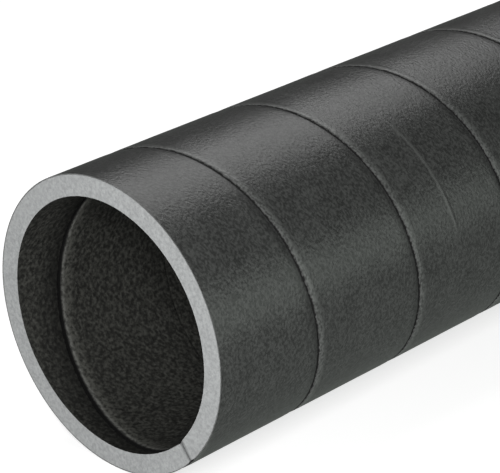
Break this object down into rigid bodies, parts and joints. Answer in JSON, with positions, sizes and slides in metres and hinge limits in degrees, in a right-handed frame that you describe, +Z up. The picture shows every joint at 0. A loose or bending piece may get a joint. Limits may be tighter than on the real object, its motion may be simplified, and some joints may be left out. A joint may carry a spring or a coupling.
{
  "type": "pre-insulated ventilation pipe",
  "caption": "Straight length of spiral-wound closed-cell foam pipe whose whole wall is insulation, for carrying ventilation air between fittings.",
  "frame": {"origin": "on the floor, below the middle of the pipe's length and below its axis", "axes": "+X along the pipe, +Z up; the end shown in the picture is the -X end"},
  "size_m": [1, 0.21, 0.21],
  "materials": {
    "foam": "dark grey closed-cell foam skin with a fine leathery grain; pale grey where it is sawn"
  },
  "bodies": {
    "root": {"foam_pipe": "foam"}
  },
  "joints": []
}
